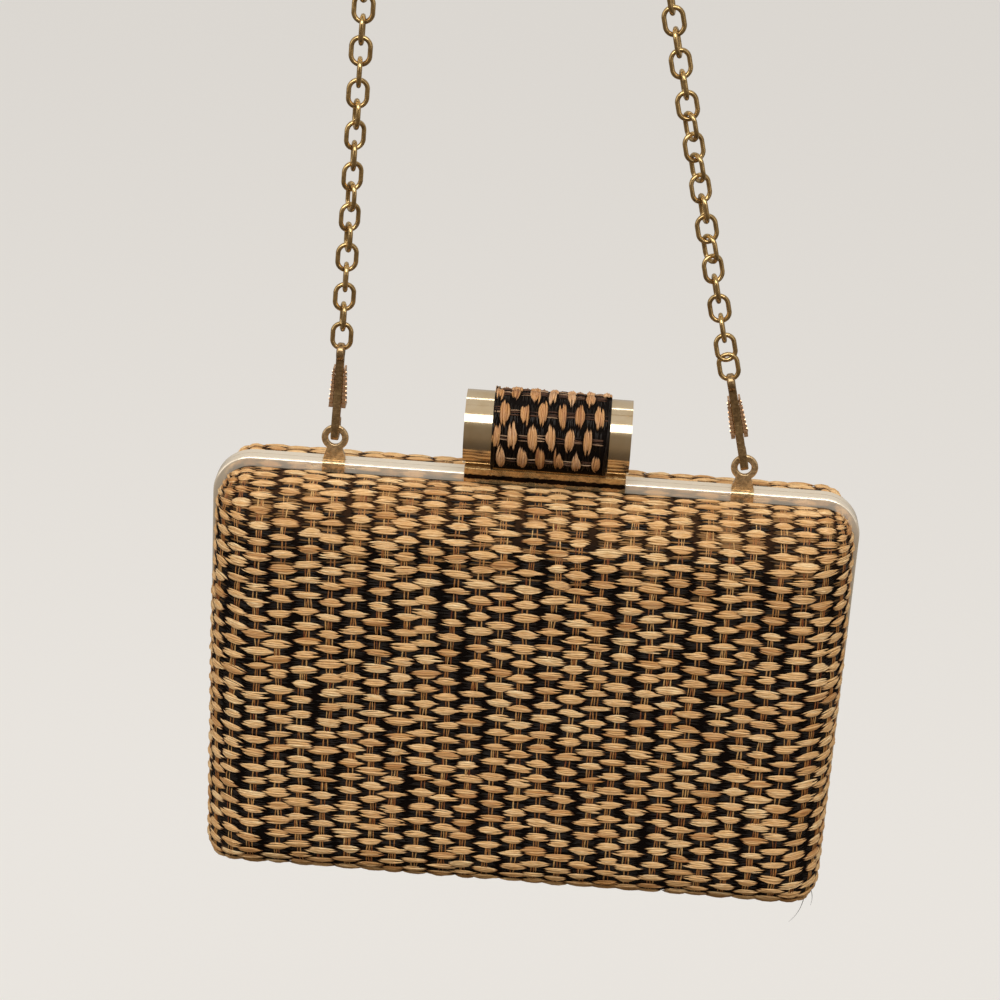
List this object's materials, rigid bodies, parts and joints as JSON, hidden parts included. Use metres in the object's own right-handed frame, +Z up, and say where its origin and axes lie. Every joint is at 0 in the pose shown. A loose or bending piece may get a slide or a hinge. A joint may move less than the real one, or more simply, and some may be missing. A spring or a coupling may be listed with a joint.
{
  "type": "basket box bag",
  "caption": "Hard box clutch: two woven-raffia shells in hinged metal frames, tube clasp, spring clips and a chain strap held up at its top.",
  "frame": {"origin": "where the top of the chain bears on whatever holds the bag up, on the inner side of the chain's turn", "axes": "+X across the bag to its right as seen from the front, +Y from the front half to the rear half, +Z up"},
  "size_m": [0.18, 0.0492, 0.4242],
  "materials": {
    "woven_raffia": "natural and black raffia weave",
    "raffia_wrap": "natural and black raffia weave",
    "lining_cloth": "plain dark cloth",
    "shell_board": "moulded board",
    "frame_metal": "polished pale gold plate",
    "clasp_metal": "polished pale gold plate",
    "clip_metal": "rose gold plate",
    "chain_metal": "gold plate",
    "plain_steel": "plated steel"
  },
  "bodies": {
    "front_half": {"front_frame": "frame_metal", "front_shell": "shell_board", "front_cover": "woven_raffia", "front_lining": "lining_cloth", "front_hinge_leaf_left": "plain_steel", "front_hinge_leaf_right": "plain_steel", "hinge_pin_left": "plain_steel", "hinge_pin_right": "plain_steel", "chain_eye_left": "frame_metal", "chain_eye_right": "frame_metal", "clasp_front_base": "clasp_metal", "clasp_front_sleeve": "clasp_metal", "clasp_front_wrap": "raffia_wrap", "clip_hook_left": "clip_metal", "clip_hook_right": "clip_metal", "clip_pin_left": "clip_metal", "clip_pin_right": "clip_metal", "clip_spring_left": "plain_steel", "clip_spring_right": "plain_steel", "chain": "chain_metal"},
    "rear_half": {"rear_frame": "frame_metal", "rear_shell": "shell_board", "rear_cover": "woven_raffia", "rear_lining": "lining_cloth", "rear_hinge_leaf_left": "plain_steel", "rear_hinge_leaf_right": "plain_steel", "clasp_rear_base": "clasp_metal", "clasp_tube": "clasp_metal", "clasp_rear_wrap": "raffia_wrap", "clasp_end_cap_left": "clasp_metal", "clasp_end_cap_right": "clasp_metal"},
    "left_gate": {"clip_gate_left": "clip_metal"},
    "right_gate": {"clip_gate_right": "clip_metal"}
  },
  "joints": [
    {"name": "bag_hinge", "type": "hinge", "parent": "front_half", "child": "rear_half", "pos_m": [0.02866, 0.00095, -0.4159], "axis": [-1, 0, 0], "range_deg": [0, 95]},
    {"name": "left_clip_gate", "type": "hinge", "parent": "front_half", "child": "left_gate", "pos_m": [-0.02739, 0, -0.26536], "axis": [-0.9996, 0, 0.0297], "range_deg": [0, 9.5], "stiffness_Nm_per_rad": 0.004, "springref_deg": -34.38, "deforming": ["clip_spring_left"]},
    {"name": "right_clip_gate", "type": "hinge", "parent": "front_half", "child": "right_gate", "pos_m": [0.08091, 0, -0.26587], "axis": [-0.972, 0, -0.2351], "range_deg": [0, 9.5], "stiffness_Nm_per_rad": 0.004, "springref_deg": -34.38, "deforming": ["clip_spring_right"]}
  ]
}
